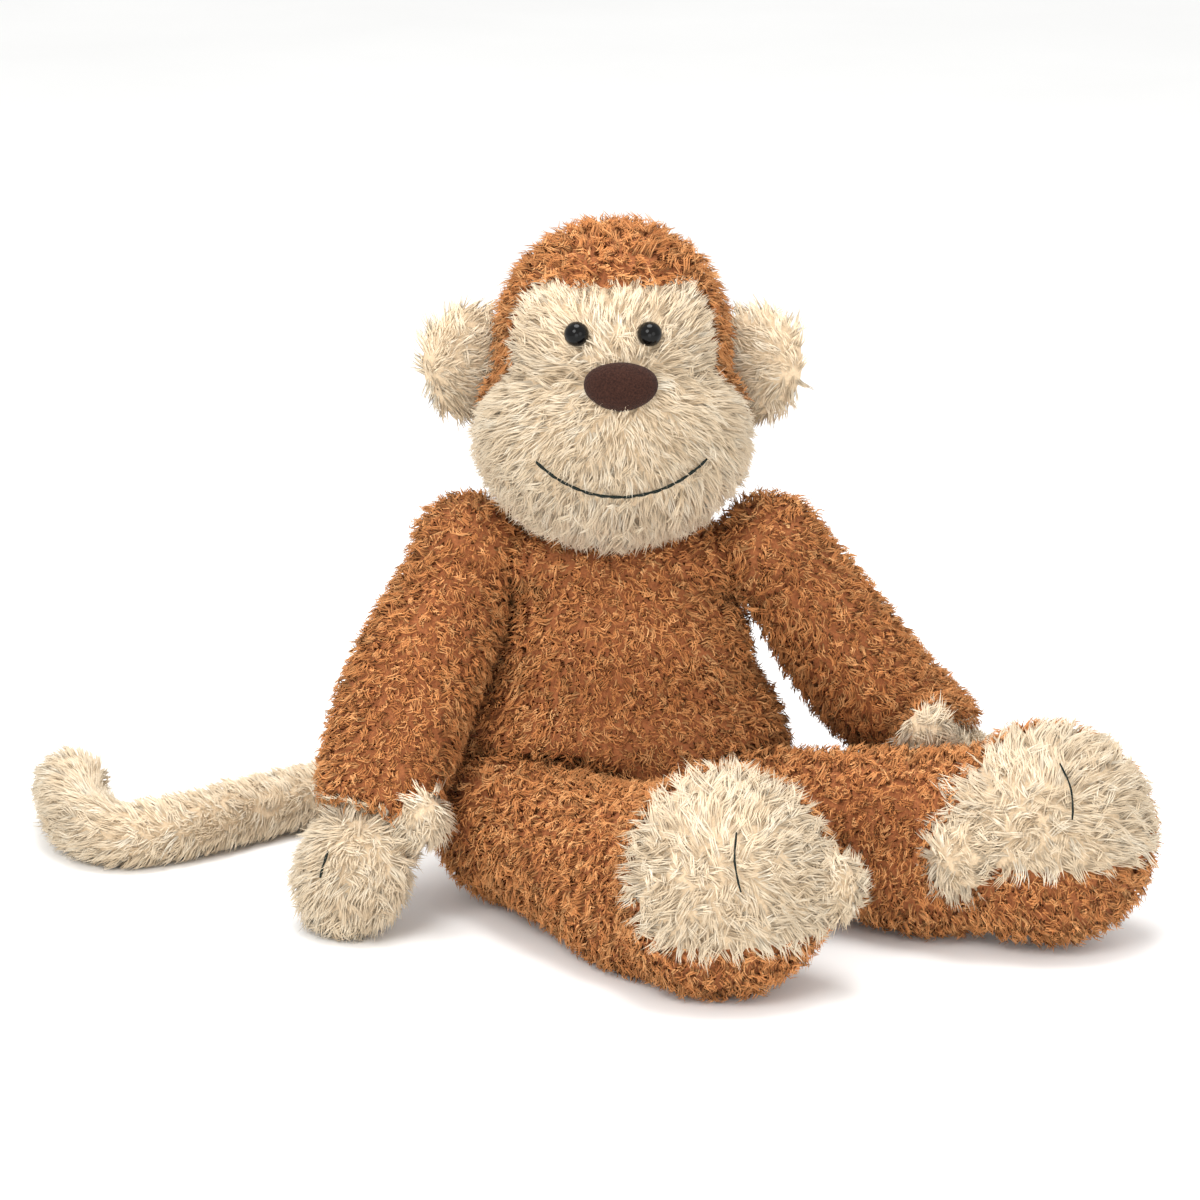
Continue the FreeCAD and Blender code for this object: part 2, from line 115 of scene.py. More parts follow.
def pile_material(name, dark, middle, light, painted_root_shade, roughness, sheen):
    """Plush pile: every tuft has its own tone, with painted shade darkening it towards its root, over broad
    soft patches.
    """
    mat, tree, shader = new_material(name)
    tone = tree.nodes.new("ShaderNodeAttribute")
    tone.attribute_name = "tone"
    along = tree.nodes.new("ShaderNodeAttribute")
    along.attribute_name = "along"
    colour = ramp_node(tree, ((0.0, dark), (0.5, middle), (1.0, light)))
    tree.links.new(tone.outputs["Fac"], colour.inputs[0])
    # Painted shade: the colour darkens towards each tuft's root, where the other tufts shade it.
    depth = ramp_node(tree, ((0.0, grey(painted_root_shade)), (0.65, grey(1.0))))
    tree.links.new(along.outputs["Fac"], depth.inputs[0])
    shaded = mix_colours(tree, "MULTIPLY", colour.outputs[0], depth.outputs[0])
    place = tree.nodes.new("ShaderNodeTexCoord")
    patches = tree.nodes.new("ShaderNodeTexNoise")
    patches.inputs["Scale"].default_value = 38
    patches.inputs["Detail"].default_value = 2
    tree.links.new(place.outputs["Object"], patches.inputs["Vector"])
    patch_tone = ramp_node(tree, ((0.3, grey(0.86)), (0.7, grey(1.0))))
    tree.links.new(patches.outputs["Fac"], patch_tone.inputs[0])
    final = mix_colours(tree, "MULTIPLY", shaded, patch_tone.outputs[0])
    tree.links.new(final, shader.inputs["Base Color"])
    shader.inputs["Roughness"].default_value = roughness
    shader.inputs["Sheen Weight"].default_value = sheen
    shader.inputs["Sheen Roughness"].default_value = 0.4
    shader.inputs["Sheen Tint"].default_value = (*light, 1)
    shader.inputs["Specular IOR Level"].default_value = 0.25
    return mat


def noisy_material(name, dark, light, scale, roughness, bump, sheen=0.0):
    """A plain surface with fine colour and height variation."""
    mat, tree, shader = new_material(name)
    place = tree.nodes.new("ShaderNodeTexCoord")
    noise = tree.nodes.new("ShaderNodeTexNoise")
    noise.inputs["Scale"].default_value = scale
    noise.inputs["Detail"].default_value = 5
    tree.links.new(place.outputs["Object"], noise.inputs["Vector"])
    colour = ramp_node(tree, ((0.3, dark), (0.7, light)))
    tree.links.new(noise.outputs["Fac"], colour.inputs[0])
    tree.links.new(colour.outputs[0], shader.inputs["Base Color"])
    height = tree.nodes.new("ShaderNodeBump")
    height.inputs["Strength"].default_value = bump
    height.inputs["Distance"].default_value = 0.0006
    tree.links.new(noise.outputs["Fac"], height.inputs["Height"])
    tree.links.new(height.outputs[0], shader.inputs["Normal"])
    shader.inputs["Roughness"].default_value = roughness
    shader.inputs["Coat Roughness"].default_value = 0.03
    shader.inputs["Sheen Weight"].default_value = sheen
    return mat


def thread_material(name, dark, light):
    """Twisted thread: fine diagonal bands along it."""
    mat, tree, shader = new_material(name)
    place = tree.nodes.new("ShaderNodeTexCoord")
    wave = tree.nodes.new("ShaderNodeTexWave")
    wave.bands_direction = "DIAGONAL"
    wave.inputs["Scale"].default_value = 500
    wave.inputs["Distortion"].default_value = 1.5
    tree.links.new(place.outputs["Object"], wave.inputs["Vector"])
    colour = ramp_node(tree, ((0.2, dark), (0.9, light)))
    tree.links.new(wave.outputs["Fac"], colour.inputs[0])
    tree.links.new(colour.outputs[0], shader.inputs["Base Color"])
    shader.inputs["Roughness"].default_value = 0.7
    shader.inputs["Specular IOR Level"].default_value = 0.2
    return mat


BROWN = ((0.36, 0.11, 0.032), (0.66, 0.265, 0.085), (0.93, 0.50, 0.21))
CREAM = ((0.66, 0.49, 0.31), (0.88, 0.71, 0.50), (0.98, 0.88, 0.71))
brown_pile = pile_material("brown_curly_pile", *BROWN, painted_root_shade=0.5, roughness=0.75, sheen=0.2)
cream_pile = pile_material("cream_brushed_pile", *CREAM, painted_root_shade=0.72, roughness=0.8, sheen=0.25)
# The backing cloth is coloured darker than its pile: painted shade for the gaps between the tufts.
brown_cloth_with_painted_shade = noisy_material("brown_backing_cloth_painted_shade", (0.22, 0.065, 0.018), (0.38, 0.13, 0.04), 900, 0.9, 0.5)
cream_cloth_with_painted_shade = noisy_material("cream_backing_cloth_painted_shade", (0.56, 0.42, 0.27), (0.72, 0.56, 0.38), 900, 0.9, 0.5)
suede = noisy_material("nose_suede", (0.018, 0.006, 0.004), (0.050, 0.019, 0.012), 1400, 0.9, 0.9, sheen=0.05)
suede.node_tree.nodes["Principled BSDF"].inputs["Specular IOR Level"].default_value = 0.15
bead = noisy_material("black_bead", (0.002, 0.002, 0.002), (0.004, 0.0035, 0.003), 60, 0.06, 0.0)
bead.node_tree.nodes["Principled BSDF"].inputs["Specular IOR Level"].default_value = 0.18
washer_plastic = noisy_material("washer_plastic", (0.72, 0.72, 0.70), (0.80, 0.80, 0.78), 300, 0.45, 0.1)
fibre_fill = noisy_material("fibre_fill", (0.80, 0.80, 0.78), (0.93, 0.93, 0.91), 420, 0.95, 1.0, sheen=0.3)
bag_cloth = noisy_material("pellet_bag_cloth", (0.70, 0.69, 0.66), (0.82, 0.81, 0.78), 1600, 0.9, 0.6)
dark_thread = thread_material("dark_thread", (0.003, 0.006, 0.004), (0.012, 0.018, 0.014))


# ---- skins ----

def node_mesh(node):
    return frame["nodes"][node].data


def centre(node):
    low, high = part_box(node)
    return (low + high) / 2


def joined(nodes):
    """One bmesh of several CAD nodes."""
    whole = bmesh.new()
    for node in nodes:
        whole.from_mesh(node_mesh(node))
    return whole


def largest_island(mesh):
    """Deletes every island of the mesh but the largest, which leaves only its outside."""
    work = bmesh.new()
    work.from_mesh(mesh)
    left = set(work.verts)
    islands = []
    while left:
        seed = left.pop()
        island, front = {seed}, [seed]
        while front:
            for edge in front.pop().link_edges:
                for vert in edge.verts:
                    if vert in left:
                        left.discard(vert)
                        island.add(vert)
                        front.append(vert)
        islands.append(island)
    keep = max(islands, key=len)
    bmesh.ops.delete(work, geom=[v for v in work.verts if v not in keep], context="VERTS")
    work.to_mesh(mesh)
    work.free()


as_sewn = {}  # each skin's vertex places before it bends


def make_skin(name, nodes, inset, voxel=2.4 * MM, smoothing=14, cushion=None, bends=()):
    """A smooth closed skin around some CAD nodes, that far inside their surface.

    A cushion (middle, half sizes) is one more soft lump under the cloth. Each bend (middle, reach, shift)
    moves the skin near its middle that way, as the fill settles."""
    whole = joined(nodes)
    if cushion:
        middle, half = cushion
        place = Matrix.Translation(middle) @ Matrix.Diagonal((*half, 1))
        bmesh.ops.create_icosphere(whole, subdivisions=4, radius=1, matrix=place)
    mesh = bpy.data.meshes.new(name)
    whole.to_mesh(mesh)
    whole.free()
    obj = bpy.data.objects.new(name, mesh)
    bpy.context.scene.collection.objects.link(obj)
    remesh = obj.modifiers.new("remesh", "REMESH")
    remesh.mode = "VOXEL"
    remesh.voxel_size = voxel
    smooth = obj.modifiers.new("smooth", "SMOOTH")
    smooth.factor = 0.5
    smooth.iterations = smoothing
    graph = bpy.context.evaluated_depsgraph_get()
    graph.update()
    final = bpy.data.meshes.new_from_object(obj.evaluated_get(graph))
    obj.modifiers.clear()
    obj.data = final
    largest_island(final)
    co, normal = vertex_arrays(final)
    co -= normal * inset
    as_sewn[name] = co.copy()
    for middle, reach, shift in bends:
        near = np.linalg.norm(co - np.array(middle), axis=1) / reach
        co += np.array(shift) * (np.clip(1 - near ** 2, 0, 1) ** 2)[:, None]
    co[:, 2] = np.maximum(co[:, 2], FLOOR + 0.2 * MM)
    final.vertices.foreach_set("co", co.ravel())
    final.polygons.foreach_set("use_smooth", np.ones(len(final.polygons), bool))
    final.update()
    return obj


def vertex_arrays(mesh):
    """The mesh's vertex places and normals as arrays."""
    count = len(mesh.vertices)
    co, normal = np.empty(count * 3), np.empty(count * 3)
    mesh.vertices.foreach_get("co", co)
    mesh.vertex_normals.foreach_get("vector", normal)
    return co.reshape(-1, 3), normal.reshape(-1, 3)


def triangle_arrays(mesh):
    """(vertex indices of every triangle, the face that each triangle is part of)."""
    mesh.calc_loop_triangles()
    count = len(mesh.loop_triangles)
    verts, faces = np.empty(count * 3, int), np.empty(count, int)
    mesh.loop_triangles.foreach_get("vertices", verts)
    mesh.loop_triangles.foreach_get("polygon_index", faces)
    return verts.reshape(-1, 3), faces


def nearest_node(points, nodes):
    """For each point, the index of the CAD node whose surface is nearest."""
    trees = []
    for node in nodes:
        work = joined([node])
        trees.append(BVHTree.FromBMesh(work))
        work.free()
    distances = [[tree.find_nearest(point)[3] for tree in trees] for point in points]
    return np.argmin(np.array(distances), axis=1)


def face_centres(mesh, places=None):
    """The middle of every face, with the vertices where they are or at the given places."""
    if places is None:
        places = vertex_arrays(mesh)[0]
    corners = np.empty(len(mesh.loops), int)
    mesh.loops.foreach_get("vertex_index", corners)
    starts, totals = np.empty(len(mesh.polygons), int), np.empty(len(mesh.polygons), int)
    mesh.polygons.foreach_get("loop_start", starts)
    mesh.polygons.foreach_get("loop_total", totals)
    return np.add.reduceat(places[corners], starts) / totals[:, None]


# ---- pile ----

def unit(vectors):
    return vectors / np.maximum(np.linalg.norm(vectors, axis=-1, keepdims=True), 1e-9)


class Pile:
    """A kind of plush pile: how long, thick, dense, curly and clumped its strands are, how they lie."""

    def __init__(self, material, length, width, per_mm2, per_clump,
                 rise, lean, spread, curl, turns, pull, rings):
        self.material = material
        self.length = length
        self.width = width
        self.per_mm2 = per_mm2
        self.per_clump = per_clump
        self.rise = rise
        self.lean = lean
        self.spread = spread
        self.curl = curl
        self.turns = turns
        self.pull = pull
        self.rings = rings

    def but(self, **changes):
        other = Pile(**vars(self))
        vars(other).update(changes)
        return other


CURLY = Pile(brown_pile, (6.5 * MM, 10.0 * MM), 0.40 * MM, 0.50, 4, 0.88, 0.45, 1.3, 1.5 * MM, 0.85, 0.55, 3)
SOFT = Pile(cream_pile, (8.0 * MM, 11.5 * MM), 0.36 * MM, 0.80, 7, 0.78, 0.7, 0.5, 0.6 * MM, 0.4, 0.42, 2)
MOST_PER_PIECE = 12000


def scatter(skin, chosen, per_mm2):
    """Random roots over the chosen faces, evenly by area: their places and normals."""
    co, normal = vertex_arrays(skin.data)
    tris, faces = triangle_arrays(skin.data)
    tris = tris[chosen[faces]]
    a, b, c = (co[tris[:, i]] for i in range(3))
    area = np.linalg.norm(np.cross(b - a, c - a), axis=1) / 2
    total = area.sum()
    count = int(total / MM ** 2 * per_mm2)
    # Evenly spaced draws through the summed area keep clumps and gaps small.
    draws = (np.arange(count) + rng.random(count)) / count * total
    pick = np.minimum(np.searchsorted(np.cumsum(area), draws), len(tris) - 1)
    u, v = rng.random(count), rng.random(count)
    over = u + v > 1
    u[over], v[over] = 1 - u[over], 1 - v[over]
    weight = np.stack([1 - u - v, u, v], axis=1)[:, :, None]
    roots = (co[tris[pick]] * weight).sum(1)
    normals = unit((normal[tris[pick]] * weight).sum(1))
    return roots, normals


def clump_of(roots, per_clump):
    """(indices of the roots that lead a clump, the clump of each root)."""
    leaders = rng.choice(len(roots), max(1, len(roots) // per_clump), replace=False)
    tree = KDTree(len(leaders))
    for index, leader in enumerate(leaders):
        tree.insert(roots[leader], index)
    tree.balance()
    return leaders, np.array([tree.find(root)[1] for root in roots])


def free_height(roots, normals, body, reach):
    """How far each root's tuft can stand up before it meets another body's skin."""
    free = np.full(len(roots), reach)
    others = [tree for name, tree in skin_trees.items() if name != body]
    for index, (root, normal) in enumerate(zip(roots, normals)):
        start, way = Vector(root), Vector(normal)
        for tree in others:
            distance = tree.ray_cast(start, way, reach)[3]
            if distance is not None:
                free[index] = min(free[index], distance)
    return free


def grow(name, skin, chosen, pile, comb, body, scale=None):
    """Pile over the chosen faces. comb(roots, normals) gives the way it lies, scale its length."""
    roots, normals = scatter(skin, chosen, pile.per_mm2)
    reach = pile.length[1]
    free = free_height(roots, normals, body, reach)
    keep = free > 2.5 * MM
    roots, normals, free = roots[keep], normals[keep], free[keep]
    count = len(roots)
    leaders, clump = clump_of(roots, pile.per_clump)
    number = len(leaders)
    heads, head_normals = roots[leaders], normals[leaders]
    lie = unit(comb(heads, head_normals)) + 0.6 * pile.spread * rng.normal(size=(number, 3))
    lie = unit(lie - head_normals * (lie * head_normals).sum(1, keepdims=True))[clump]
    lie = lie + 0.12 * rng.normal(size=(count, 3))
    side = np.cross(normals, lie)
    length = rng.uniform(*pile.length, number)[clump] * rng.uniform(0.8, 1.1, count)
    if scale is not None:
        length *= scale(roots)
    length = np.minimum(length, free / pile.rise)
    phase = rng.uniform(0, 2 * math.pi, number)[clump] + rng.normal(0, 0.25, count)
    turns = (pile.turns * rng.uniform(0.7, 1.3, number) * rng.choice([-1, 1], number))[clump]
    curl = (pile.curl * rng.uniform(0.6, 1.3, number))[clump] * np.minimum(1, length / pile.length[0])
    steps = np.linspace(0, 1, pile.rings + 1)
    inward = heads[clump] - roots

    def path(step):
        along = length[:, None] * step
        line = roots + normals * along * pile.rise * (1 - 0.3 * step) + lie * along * pile.lean
        line = line + inward * pile.pull * step
        swing = phase + turns * 2 * math.pi * step
        grown = (curl * min(1, step * 1.6))[:, None]
        return line + grown * (np.cos(swing)[:, None] * side + np.sin(swing)[:, None] * lie * 0.7)

    centres = [path(step) - normals * 0.5 * MM for step in steps]
    base = [pile.width * (1 - 0.85 * step ** 1.5) for step in steps[:-1]]
    thick = rng.uniform(0.75, 1.25, count)[:, None]
    verts = np.empty((count, 3 * pile.rings + 1, 3))
    shading = np.empty_like(verts)
    along = np.empty((count, 3 * pile.rings + 1))
    for ring in range(pile.rings):
        axis = unit(centres[ring + 1] - centres[ring])
        across = unit(np.cross(axis, normals + 0.01))
        other = np.cross(axis, across)
        for corner in range(3):
            angle = 2 * math.pi * corner / 3 + 0.5 * ring
            offset = math.cos(angle) * across + math.sin(angle) * other
            verts[:, 3 * ring + corner] = centres[ring] + offset * base[ring] * thick
            shading[:, 3 * ring + corner] = unit(0.9 * normals + 0.6 * offset + 0.5 * lie)
            along[:, 3 * ring + corner] = steps[ring]
    verts[:, -1] = centres[-1]
    shading[:, -1] = unit(normals + 0.5 * lie)
    along[:, -1] = 1
    verts[:, :, 2] = np.maximum(verts[:, :, 2], FLOOR + 0.2 * MM)
    tone = 0.6 * rng.normal(0.5, 0.24, number)[clump] + 0.4 * rng.normal(0.5, 0.24, count)
    tone = np.clip(tone, 0, 1)
    faces = tuft_faces(pile.rings)
    # The pile is split into bands by height, because a very large mesh is thinned out later.
    bands = max(1, math.ceil(count / MOST_PER_PIECE))
    for band, members in enumerate(np.array_split(np.argsort(roots[:, 2]), bands), start=1):
        label = name if bands == 1 else f"{name}_{band}"
        obj = tuft_object(label, verts[members], shading[members], faces, along[members], tone[members])
        obj.data.materials.append(pile.material)
        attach(obj, body)


def tuft_faces(rings):
    """Triangles of one tuft: three-sided rings, one after another, closed at the tip."""
    faces = []
    for ring in range(rings - 1):
        for corner in range(3):
            a, b = 3 * ring + corner, 3 * ring + (corner + 1) % 3
            faces += [(a, b, b + 3), (a, b + 3, a + 3)]
    last, tip = 3 * (rings - 1), 3 * rings
    faces += [(last + corner, last + (corner + 1) % 3, tip) for corner in range(3)]
    return np.array(faces)


def tuft_object(name, verts, shading, faces, along, tone):
    """One mesh of all the tufts, with a tone for each tuft and a small cell for it in the UV map."""
    count, per = verts.shape[:2]
    mesh = bpy.data.meshes.new(name)
    mesh.vertices.add(count * per)
    mesh.vertices.foreach_set("co", verts.ravel())
    corners = (faces[None] + per * np.arange(count)[:, None, None]).ravel()
    mesh.loops.add(len(corners))
    mesh.loops.foreach_set("vertex_index", corners)
    mesh.polygons.add(len(corners) // 3)
    mesh.polygons.foreach_set("loop_start", np.arange(0, len(corners), 3))
    mesh.polygons.foreach_set("use_smooth", np.ones(len(corners) // 3, bool))
    mesh.update(calc_edges=True)
    mesh.attributes.new("along", "FLOAT", "POINT").data.foreach_set("value", along.ravel())
    mesh.attributes.new("tone", "FLOAT", "POINT").data.foreach_set("value", np.repeat(tone, per))
    grid = math.ceil(math.sqrt(count))
    column, row = np.arange(count) % grid, np.arange(count) // grid
    corner_of = np.arange(per) % 3
    u = (column[:, None] + 0.25 + 0.25 * corner_of[None]) / grid
    v = (row[:, None] + 0.12 + 0.76 * along) / grid
    uv = np.stack([u, v], axis=2).reshape(-1, 2)[corners]
    mesh.uv_layers.new(name="OFBake").data.foreach_set("uv", uv.ravel())
    mesh.normals_split_custom_set_from_vertices(shading.reshape(-1, 3))
    obj = bpy.data.objects.new(name, mesh)
    bpy.context.scene.collection.objects.link(obj)
    return obj


def finish_skin(skin, cloth, body, nodes):
    skin.data.materials.clear()
    skin.data.materials.append(cloth)
    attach(skin, body)
    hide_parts(*nodes)


# ---- ways the pile lies ----

def downwards(roots, normals):
    return np.tile([0.0, 0.0, -1.0], (len(roots), 1)) + 0.15 * normals


def away_from(point):
    def comb(roots, normals):
        return roots - np.array(point)[None]
    return comb


def along_line(direction):
    def comb(roots, normals):
        return np.tile(np.array(direction, float), (len(roots), 1))
    return comb


def clipped_near(points, reach=5 * MM, least=0.35):
    """A length scale that shortens the pile close to some stitching."""
    line = np.array([tuple(point) for point in points])

    def scale(roots):
        gap = np.min([np.linalg.norm(roots - point, axis=1) for point in line], axis=0)
        return np.clip(least + gap / reach * (1 - least) * 0.5, least, 1)

    return scale


# ---- body by body ----

def all_faces(skin):
    return np.ones(len(skin.data.polygons), bool)


def make_torso(skin):
    nodes = ["torso_front_panel", "torso_back_panel"]
    grow("torso_pile", skin, all_faces(skin), CURLY, downwards, "torso")
    finish_skin(skin, brown_cloth_with_painted_shade, "torso", nodes)
    low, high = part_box("back_closing_seam")
    middle = (low + high) / 2
    top, bottom = Vector((middle.x, high.y, high.z)), Vector((middle.x, high.y, low.z))
    points = surface_line(skin, top, bottom, Vector((0, 1, 0)), 2 * MM)
    make_stitches("closing_seam_thread", points, "torso", "back_closing_seam", 5 * MM)


def make_neck(skin):
    pile = CURLY.but(length=(4 * MM, 6 * MM))
    grow("neck_pile", skin, all_faces(skin), pile, downwards, "neck")
    finish_skin(skin, brown_cloth_with_painted_shade, "neck", ["neck_stuffing"])


def face_mask(skin):
    """The faces of the head that are cream: in front of the side seams and under the hairline."""
    middle = face_centres(skin.data)
    low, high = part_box("face_panel")
    head = (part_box("head_crown")[0].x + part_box("head_crown")[1].x) / 2
    # Above the cheeks the side seams come forward beside the eyes, and the hairline dips to them.
    cheek_level = low.z + 0.45 * (high.z - low.z)
    rise = np.clip((middle[:, 2] - cheek_level) / (22 * MM), 0, 1)
    seam = high.y + (18 - 26 * rise) * MM
    hairline = high.z + 2 * MM - 4 * MM * np.abs((middle[:, 0] - head) / (36 * MM)) ** 3
    return (middle[:, 1] < seam) & (middle[:, 2] < hairline)


def make_head(skin):
    nodes = ["head_crown", "face_panel"]
    is_face = face_mask(skin)
    nose = centre("nose")
    core = Vector((nose.x, nose.y + 20 * MM, nose.z))
    grow("crown_pile", skin, ~is_face, CURLY.but(length=(8 * MM, 12 * MM)), downwards, "head")
    mouth = smile_points(skin)
    by_thread = clipped_near(mouth)
    crown = KDTree(int((~is_face).sum()))
    for index, place in enumerate(face_centres(skin.data)[~is_face]):
        crown.insert(place, index)
    crown.balance()

    def scale(roots):
        gap = np.array([crown.find(root)[2] for root in roots])
        return by_thread(roots) * np.clip(0.5 + 0.5 * gap / (11 * MM), 0.5, 1)

    grow("face_pile", skin, is_face, SOFT, away_from(core), "head", scale)
    finish_skin(skin, cream_cloth_with_painted_shade, "head", nodes)
    skin.data.materials.append(brown_cloth_with_painted_shade)
    skin.data.polygons.foreach_set("material_index", np.where(is_face, 0, 1))
    make_nose()
    make_stitches("smile_stitching", mouth, "head", "mouth_stitching", 5.5 * MM, 0.6 * MM)
    for side, sign in SIDES:
        make_ear(side, sign)


def smile_points(skin):
    """Points on the face along the smile's arc, through the ends and the bottom of its CAD node."""
    low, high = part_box("mouth_stitching")
    half, sag = (high.x - low.x) / 2, high.z - low.z
    radius = (half ** 2 + sag ** 2) / (2 * sag)
    tree = BVHTree.FromPolygons([v.co for v in skin.data.vertices], [p.vertices for p in skin.data.polygons])
    limit = 0.93 * math.asin(half / radius)
    points = []
    for turn in np.linspace(-limit, limit, 40):
        x = (low.x + high.x) / 2 + radius * math.sin(turn)
        z = low.z + radius * (1 - math.cos(turn))
        hit = tree.ray_cast(Vector((x, low.y - 0.1, z)), Vector((0, 1, 0)))
        points.append(hit[0] + hit[1] * 4.2 * MM)
    return points


def make_stitches(name, points, body, node, stitch, thickness=0.55 * MM):
    """Back stitches of dark thread, end to end along the points."""
    line = [Vector(p) for p in points]
    lengths = np.cumsum([0] + [(b - a).length for a, b in zip(line, line[1:])])
    count = max(1, round(lengths[-1] / stitch))
    obj_curve = bpy.data.curves.new(name, "CURVE")
    obj_curve.dimensions = "3D"
    obj_curve.bevel_depth = thickness
    obj_curve.bevel_resolution = 2
    obj_curve.use_fill_caps = True
    array = np.array(line)
    for i in range(count):
        ends = np.linspace(i, i + 1, 6) / count * lengths[-1]
        spline = obj_curve.splines.new("POLY")
        spline.points.add(len(ends) - 1)
        for j, s in enumerate(ends):
            p = [np.interp(s, lengths, array[:, axis]) for axis in range(3)]
            dip = 0.5 * MM * (2 * j / (len(ends) - 1) - 1) ** 2
            spline.points[j].co = (p[0], p[1] + dip, p[2], 1)
            spline.points[j].radius = 0.75 + 0.35 * math.sin(math.pi * j / (len(ends) - 1))
    obj = bpy.data.objects.new(name, obj_curve)
    bpy.context.scene.collection.objects.link(obj)
    obj.data.materials.append(dark_thread)
    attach(obj, body)
    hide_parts(node)
    return obj


def make_nose():
    """A stuffed suede oval, fuller at the top and drawn in to a soft point below."""
    low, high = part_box("nose")
    middle = (low + high) / 2
    half = (high - low) / 2
    work = bmesh.new()
    bmesh.ops.create_uvsphere(work, u_segments=64, v_segments=32, radius=1)
    for vert in work.verts:
        x, y, z = vert.co
        taper = 1 - 0.24 * max(0.0, -z) ** 1.5
        square = (abs(x) ** 2.4 + abs(z) ** 2.4) ** (1 / 2.4) / max(1e-6, math.hypot(x, z))
        round_x = x * taper / max(0.9, square) * 1.0
        vert.co = (
            middle.x + round_x * half.x * 0.95,
            low.y + half.y * 0.9 + y * half.y * 0.95,
            middle.z + z * half.z * (1.06 if z < 0 else 0.98),
        )
    mesh = bpy.data.meshes.new("suede_nose")
    work.to_mesh(mesh)
    work.free()
    mesh.polygons.foreach_set("use_smooth", np.ones(len(mesh.polygons), bool))
    obj = bpy.data.objects.new("suede_nose", mesh)
    bpy.context.scene.collection.objects.link(obj)
    obj.data.materials.append(suede)
    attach(obj, "head")
    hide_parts("nose")


def make_ear(side, sign):
    nodes = [f"{side}_ear_front", f"{side}_ear_back"]
    skin = make_skin(f"{side}_ear_plush", nodes, 1.5 * MM, voxel=1.4 * MM, smoothing=8)
    inner = centre(nodes[0]) + Vector((sign * -14 * MM, 0, -4 * MM))
    pile = SOFT.but(length=(7.0 * MM, 10.0 * MM), spread=0.8, rise=0.65, lean=0.75)
    grow(f"{side}_ear_pile", skin, all_faces(skin), pile, away_from(inner), "head")
    finish_skin(skin, cream_cloth_with_painted_shade, "head", nodes)


def make_limb(skin, side, kind, cream_nodes, tip):
    """An arm or leg: its sleeve is brown and its cream_nodes are cream. Returns the way it points."""
    body = f"{side}_{kind}"
    cloth_nodes = [f"{body}_sleeve"] + cream_nodes
    places = face_centres(skin.data)
    sewn = face_centres(skin.data, as_sewn[skin.name])
    which = nearest_node(sewn, cloth_nodes)
    if kind == "leg":
        # The heel is brown up to a level that its CAD seam only reaches in the middle of the sole.
        which[(which == 1) & (places[:, 2] < FLOOR + HEEL_HEIGHTS[side])] = 0
    direction = (tip - pivot_of(body)).normalized()
    comb_down = along_line(direction * 0.5 + Vector((0, 0, -0.6)))
    grow(f"{body}_pile", skin, which == 0, CURLY, comb_down, body)
    for index, node in enumerate(cream_nodes, start=1):
        middle = centre(node) + Vector((places - sewn)[which == index].mean(axis=0))
        core = middle - direction * (10 * MM if index == 1 else 4 * MM)
        pile = SOFT if index == 1 else SOFT.but(length=(7 * MM, 10 * MM), spread=0.7)
        grow(f"{node}_pile", skin, which == index, pile, away_from(core), body)
    finish_skin(skin, brown_cloth_with_painted_shade, body, cloth_nodes + [f"{body}_stuffing"])
    skin.data.materials.append(cream_cloth_with_painted_shade)
    skin.data.polygons.foreach_set("material_index", np.where(which == 0, 0, 1))
    return direction


def pivot_of(body):
    return Vector(next(joint for joint in frame["joints"] if joint["child"] == body)["pos_m"])


def surface_line(skin, start, end, outward, lift):
    """Points on the skin under the straight line from start to end, seen along outward."""
    tree = BVHTree.FromPolygons([v.co for v in skin.data.vertices], [p.vertices for p in skin.data.polygons])
    points = []
    for share in np.linspace(0, 1, 14):
        over = start.lerp(end, share) + outward * 0.08
        hit = tree.ray_cast(over, -outward)
        if hit[0] is not None:
            points.append(hit[0] + hit[1] * lift)
    return points


def make_arm(skin, side):
    body = f"{side}_arm"
    hand = centre(f"{side}_hand")
    direction = make_limb(skin, side, "arm", [f"{side}_hand", f"{side}_thumb"], hand)
    stitch = centre(f"{side}_palm_stitch")
    outward = (stitch - hand).normalized()
    half = direction * 5 * MM
    points = surface_line(skin, stitch - half, stitch + half, outward, 4.5 * MM)
    make_stitches(f"{side}_palm_thread", points, body, f"{side}_palm_stitch", 5 * MM)


def make_leg(skin, side):
    body = f"{side}_leg"
    sole = centre(f"{side}_foot_sole")
    direction = make_limb(skin, side, "leg", [f"{side}_foot_sole", f"{side}_big_toe"], sole)
    low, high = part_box(f"{side}_sole_stitch")
    outward = Vector((direction.x * 0.3, -1, 0.2)).normalized()
    middle = (low + high) / 2
    lift = 8 * MM if side == "left" else 2 * MM
    top = Vector((middle.x, low.y, high.z - 2 * MM + lift))
    bottom = Vector((middle.x, low.y, low.z + 4 * MM + lift))
    points = surface_line(skin, top, bottom, outward, 6 * MM)
    curve = 1.6 * MM if side == "left" else -1.6 * MM
    for i, point in enumerate(points):
        point.x += curve * math.sin(math.pi * i / (len(points) - 1))
    make_stitches(f"{side}_sole_thread", points, body, f"{side}_sole_stitch", 7 * MM, 0.4 * MM)


def make_tail(skin):
    pile = SOFT.but(length=(7 * MM, 10 * MM), spread=0.7)
    outward = away_from(pivot_of("tail"))
    grow("tail_pile", skin, all_faces(skin), pile, outward, "tail")
    finish_skin(skin, cream_cloth_with_painted_shade, "tail", ["tail_sleeve", "tail_stuffing"])


def dress_inner_parts():
    """The CAD pieces that stay as they are get their own materials."""
    finishes = {
        bead: ["right_eye", "left_eye"],
        washer_plastic: ["right_eye_washer", "left_eye_washer"],
        bag_cloth: ["seat_bean_bag"],
        dark_thread: ["back_closing_seam"],
    }
    finishes[fibre_fill] = [node for node in frame["nodes"] if node.endswith("stuffing")]
    for material, nodes in finishes.items():
        for node in nodes:
            obj = frame["nodes"][node]
            obj.data.materials.clear()
            obj.data.materials.append(material)


# ---- studio ----

